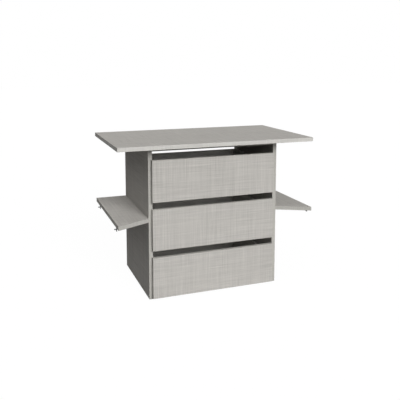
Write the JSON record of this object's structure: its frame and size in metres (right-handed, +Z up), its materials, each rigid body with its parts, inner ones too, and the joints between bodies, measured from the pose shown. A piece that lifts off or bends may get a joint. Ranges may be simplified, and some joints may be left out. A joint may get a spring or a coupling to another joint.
{
  "type": "closet system",
  "caption": "Wardrobe insert: drawers between side panels under a wide top board, with a side shelf on each side that pins to the wardrobe's walls.",
  "frame": {"origin": "on the floor, under the middle of the top board", "axes": "+X to the chest's right seen from the front, +Z up, and the drawers open towards -Y"},
  "size_m": [1.004, 0.563, 0.75],
  "materials": {
    "woven_laminate": "light grey laminate with a fine woven linen pattern, matt",
    "box_board": "light grey foil on thin board, matt",
    "dowel_wood": "plain fluted beech",
    "coated_steel": "white powder coat on pressed sheet steel",
    "roller_plastic": "white moulded plastic",
    "steel": "zinc-plated, slightly dull"
  },
  "bodies": {
    "chest": {"top_panel": "woven_laminate", "left_side_panel": "woven_laminate", "right_side_panel": "woven_laminate", "bottom_panel": "woven_laminate", "front_rail": "woven_laminate", "rear_rail": "woven_laminate", "left_shelf": "woven_laminate", "right_shelf": "woven_laminate", "shelf_supports": "steel", "dowels": "dowel_wood", "cam_housings": "steel", "cam_bolts": "steel", "shelf_screws": "steel", "cabinet_runner_screws": "steel", "upper_cabinet_left_runner": "coated_steel", "upper_cabinet_right_runner": "coated_steel", "middle_cabinet_left_runner": "coated_steel", "middle_cabinet_right_runner": "coated_steel", "lower_cabinet_left_runner": "coated_steel", "lower_cabinet_right_runner": "coated_steel"},
    "upper_drawer": {"upper_drawer_front": "woven_laminate", "upper_drawer_box_front": "box_board", "upper_drawer_left_side": "box_board", "upper_drawer_right_side": "box_board", "upper_drawer_back": "box_board", "upper_drawer_bottom": "box_board", "upper_drawer_left_runner": "coated_steel", "upper_drawer_right_runner": "coated_steel", "upper_drawer_screws": "steel", "upper_drawer_runner_screws": "steel"},
    "upper_drawer_roller_pair": {"upper_drawer_rollers": "roller_plastic"},
    "upper_cabinet_roller_pair": {"upper_cabinet_rollers": "roller_plastic"},
    "middle_drawer": {"middle_drawer_front": "woven_laminate", "middle_drawer_box_front": "box_board", "middle_drawer_left_side": "box_board", "middle_drawer_right_side": "box_board", "middle_drawer_back": "box_board", "middle_drawer_bottom": "box_board", "middle_drawer_left_runner": "coated_steel", "middle_drawer_right_runner": "coated_steel", "middle_drawer_screws": "steel", "middle_drawer_runner_screws": "steel"},
    "middle_drawer_roller_pair": {"middle_drawer_rollers": "roller_plastic"},
    "middle_cabinet_roller_pair": {"middle_cabinet_rollers": "roller_plastic"},
    "lower_drawer": {"lower_drawer_front": "woven_laminate", "lower_drawer_box_front": "box_board", "lower_drawer_left_side": "box_board", "lower_drawer_right_side": "box_board", "lower_drawer_back": "box_board", "lower_drawer_bottom": "box_board", "lower_drawer_left_runner": "coated_steel", "lower_drawer_right_runner": "coated_steel", "lower_drawer_screws": "steel", "lower_drawer_runner_screws": "steel"},
    "lower_drawer_roller_pair": {"lower_drawer_rollers": "roller_plastic"},
    "lower_cabinet_roller_pair": {"lower_cabinet_rollers": "roller_plastic"}
  },
  "joints": [
    {"name": "upper_drawer_slide", "type": "slide", "parent": "chest", "child": "upper_drawer", "axis": [0, -1, 0], "range_m": [0, 0.35]},
    {"name": "middle_drawer_slide", "type": "slide", "parent": "chest", "child": "middle_drawer", "axis": [0, -1, 0], "range_m": [0, 0.35]},
    {"name": "lower_drawer_slide", "type": "slide", "parent": "chest", "child": "lower_drawer", "axis": [0, -1, 0], "range_m": [0, 0.35]},
    {"name": "upper_drawer_rollers_turn", "type": "hinge", "parent": "upper_drawer", "child": "upper_drawer_roller_pair", "pos_m": [0, 0.2285, 0.5045], "axis": [1, 0, 0], "range_deg": [0, 1680]},
    {"name": "upper_cabinet_rollers_turn", "type": "hinge", "parent": "chest", "child": "upper_cabinet_roller_pair", "pos_m": [0, -0.1845, 0.505], "axis": [1, 0, 0], "range_deg": [0, 1680]},
    {"name": "middle_drawer_rollers_turn", "type": "hinge", "parent": "middle_drawer", "child": "middle_drawer_roller_pair", "pos_m": [0, 0.2285, 0.272], "axis": [1, 0, 0], "range_deg": [0, 1680]},
    {"name": "middle_cabinet_rollers_turn", "type": "hinge", "parent": "chest", "child": "middle_cabinet_roller_pair", "pos_m": [0, -0.1845, 0.2725], "axis": [1, 0, 0], "range_deg": [0, 1680]},
    {"name": "lower_drawer_rollers_turn", "type": "hinge", "parent": "lower_drawer", "child": "lower_drawer_roller_pair", "pos_m": [0, 0.2285, 0.0395], "axis": [1, 0, 0], "range_deg": [0, 1680]},
    {"name": "lower_cabinet_rollers_turn", "type": "hinge", "parent": "chest", "child": "lower_cabinet_roller_pair", "pos_m": [0, -0.1845, 0.04], "axis": [1, 0, 0], "range_deg": [0, 1680]}
  ],
  "couplings": [
    {"joint": "upper_drawer_rollers_turn", "follows": "upper_drawer_slide", "rad_per_m": 83.333},
    {"joint": "upper_cabinet_rollers_turn", "follows": "upper_drawer_slide", "rad_per_m": 83.333},
    {"joint": "middle_drawer_rollers_turn", "follows": "middle_drawer_slide", "rad_per_m": 83.333},
    {"joint": "middle_cabinet_rollers_turn", "follows": "middle_drawer_slide", "rad_per_m": 83.333},
    {"joint": "lower_drawer_rollers_turn", "follows": "lower_drawer_slide", "rad_per_m": 83.333},
    {"joint": "lower_cabinet_rollers_turn", "follows": "lower_drawer_slide", "rad_per_m": 83.333}
  ]
}
